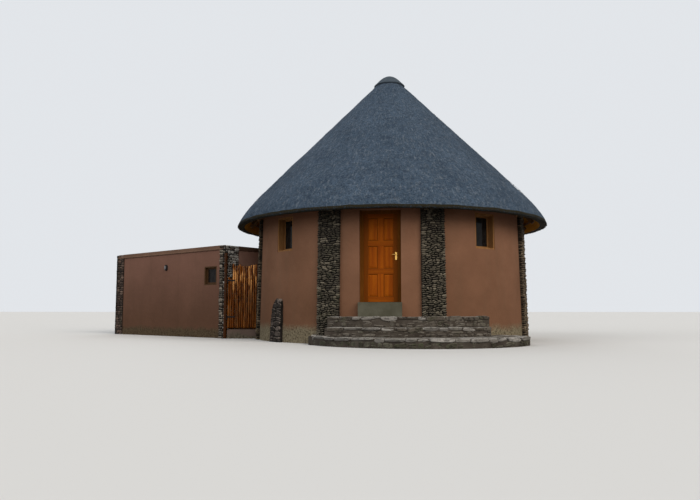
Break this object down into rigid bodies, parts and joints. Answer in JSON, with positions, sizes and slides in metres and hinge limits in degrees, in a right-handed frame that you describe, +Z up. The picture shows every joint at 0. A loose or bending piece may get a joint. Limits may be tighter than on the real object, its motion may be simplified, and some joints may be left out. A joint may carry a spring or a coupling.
{
  "type": "rondavel hut",
  "caption": "Round plastered hut with a conical thatched roof, stone pilasters, curved stone steps, a panelled door, a flat-roofed annex and a stick gate.",
  "frame": {"origin": "on the round hut's axis at the lowest ground level", "axes": "+Z up, the hut's door faces -Y, +X to the right of someone who faces the door"},
  "size_m": [13.3947, 10.3909, 7.3924],
  "materials": {
    "plaster": "matt painted plaster",
    "slate": "rough stacked slate",
    "step_stone": "rough laid stone",
    "cement": "weathered cement",
    "screed": "smooth screed",
    "rubble": "compacted rubble",
    "roof_mortar": "weathered mortar",
    "thatch": "weathered grass thatch",
    "roof_timber": "peeled poles",
    "frame_timber": "dark varnish",
    "door_timber": "satin varnish",
    "stick_timber": "gloss varnish",
    "glass": "clear",
    "brass": "worn",
    "hinge_steel": "dull",
    "black_metal": "satin"
  },
  "bodies": {
    "hut": {"floor_fill": "rubble", "floor_slab": "screed", "wall_door_left": "plaster", "wall_door_right": "plaster", "wall_over_door": "plaster", "wall_window_left": "plaster", "wall_window_right": "plaster", "wall_left_rear": "plaster", "wall_right_rear": "plaster", "wall_back": "plaster", "pilasters_front": "slate", "pilasters_side": "slate", "pilasters_rear": "slate", "wall_plate": "roof_timber", "rafters": "roof_timber", "roof_laths": "roof_timber", "thatch": "thatch", "roof_cap": "roof_mortar", "door_threshold": "cement", "door_frame": "frame_timber", "door_hinges_frame": "hinge_steel", "window_frames": "frame_timber", "window_panes": "glass", "step_lowest": "step_stone", "step_middle": "step_stone", "step_top": "step_stone", "stone_stub": "slate", "annex_front_wall": "plaster", "annex_left_wall": "plaster", "annex_rear_wall": "plaster", "annex_right_wall": "plaster", "annex_floor": "screed", "annex_roof": "cement", "annex_coping": "plaster", "annex_corners": "slate", "annex_lamp": "black_metal", "gate_post": "stick_timber", "gate_hinges_post": "black_metal", "gate_kerb": "plaster"},
    "door": {"door_leaf": "door_timber", "door_panels": "door_timber", "door_handle": "brass", "door_hinges_leaf": "hinge_steel"},
    "gate": {"gate_leaf": "stick_timber", "gate_hinges_leaf": "black_metal"}
  },
  "joints": [
    {"name": "door_hinge", "type": "hinge", "parent": "hut", "child": "door", "pos_m": [-0.4095, -3.268, 1.96], "axis": [0, 0, 1], "range_deg": [0, 100]},
    {"name": "gate_hinge", "type": "hinge", "parent": "hut", "child": "gate", "pos_m": [-4.44535, -0.67451, 1.16], "axis": [0, 0, -1], "range_deg": [0, 100]}
  ]
}
